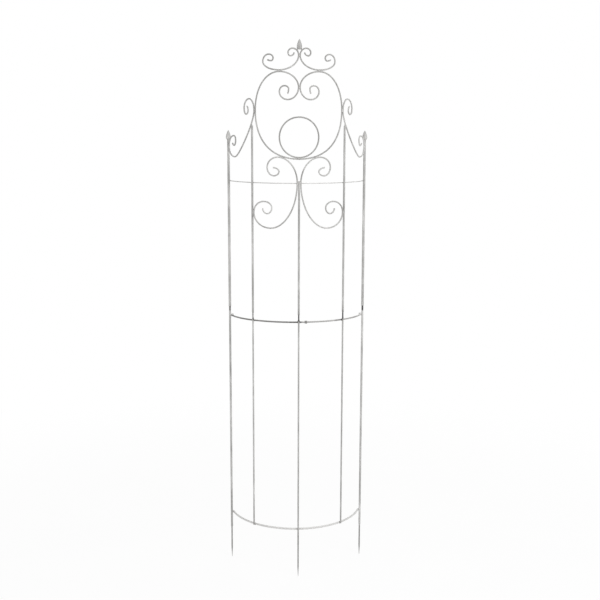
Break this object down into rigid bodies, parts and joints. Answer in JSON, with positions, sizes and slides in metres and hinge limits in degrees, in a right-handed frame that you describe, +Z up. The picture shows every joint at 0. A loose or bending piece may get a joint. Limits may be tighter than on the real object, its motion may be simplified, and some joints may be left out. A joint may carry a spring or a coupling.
{
  "type": "garden obelisk",
  "caption": "Half-round garden obelisk trellis of painted steel rod with scrollwork, bud finials and ground spikes, in two sections that plug together.",
  "frame": {"origin": "on the ground plane of the spike tips, under the middle of the part's box", "axes": "+Z up along the uprights, -Y out of the bulging front with the scrollwork, +X to the right seen from the front"},
  "size_m": [0.4958, 0.1964, 1.8765],
  "materials": {
    "paint": "matt antique white paint over steel",
    "worn_paint": "matt paint rubbed thin over dark steel"
  },
  "bodies": {
    "lower_section": {"lower_upright_left_outer": "paint", "lower_upright_left_inner": "paint", "lower_upright_centre": "paint", "lower_upright_right_inner": "paint", "lower_upright_right_outer": "paint", "ground_spike_left": "worn_paint", "ground_spike_right": "worn_paint", "bottom_hoop": "paint", "middle_hoop_left": "worn_paint", "middle_hoop_right": "worn_paint", "hoop_ferrule": "worn_paint"},
    "upper_section": {"upper_upright_left_outer": "paint", "upper_upright_left_inner": "paint", "upper_upright_centre": "paint", "upper_upright_right_inner": "paint", "upper_upright_right_outer": "paint", "top_hoop": "paint", "ring": "paint", "heart_scroll_left": "paint", "heart_scroll_right": "paint", "crown_scroll_left": "paint", "crown_scroll_right": "paint", "lyre_scroll_left": "paint", "lyre_scroll_right": "paint", "side_scroll_left": "paint", "side_scroll_right": "paint", "finial_left": "paint", "finial_centre": "paint", "finial_right": "paint"}
  },
  "joints": [
    {"name": "upper_section_lift", "type": "slide", "parent": "lower_section", "child": "upper_section", "axis": [0, 0, 1], "range_m": [0, 0.06]}
  ]
}
